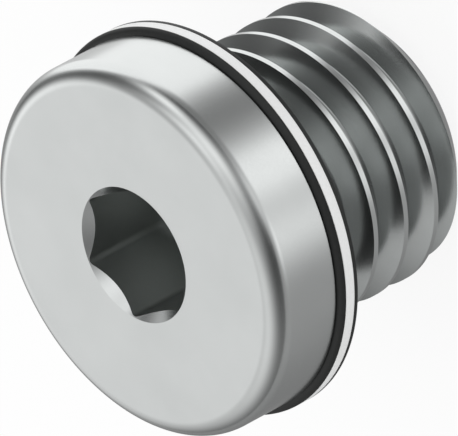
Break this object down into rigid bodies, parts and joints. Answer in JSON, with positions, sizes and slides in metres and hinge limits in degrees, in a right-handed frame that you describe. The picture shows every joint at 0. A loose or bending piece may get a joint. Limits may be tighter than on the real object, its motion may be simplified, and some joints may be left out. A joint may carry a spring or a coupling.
{
  "type": "blanking plug",
  "caption": "Screw-in blanking plug with a flat round head, an internal hexagon and a captive sealing ring that closes a threaded port.",
  "frame": {"origin": "centre of the flat end of the thread, on which the plug stands", "axes": "+Z along the plug's axis from the flat end of the thread to the top face of the head; +X and +Y are free about the axis, and a corner of the hexagon lies 18 degrees from +X towards +Y"},
  "size_m": [0.0098, 0.0098, 0.0078],
  "materials": {
    "plug_metal": "satin",
    "ring_metal": "matte",
    "seal_rubber": "satin"
  },
  "bodies": {
    "root": {"plug_body": "plug_metal", "seal_core": "ring_metal", "seal_rubber_head": "seal_rubber", "seal_rubber_port": "seal_rubber"}
  },
  "joints": []
}
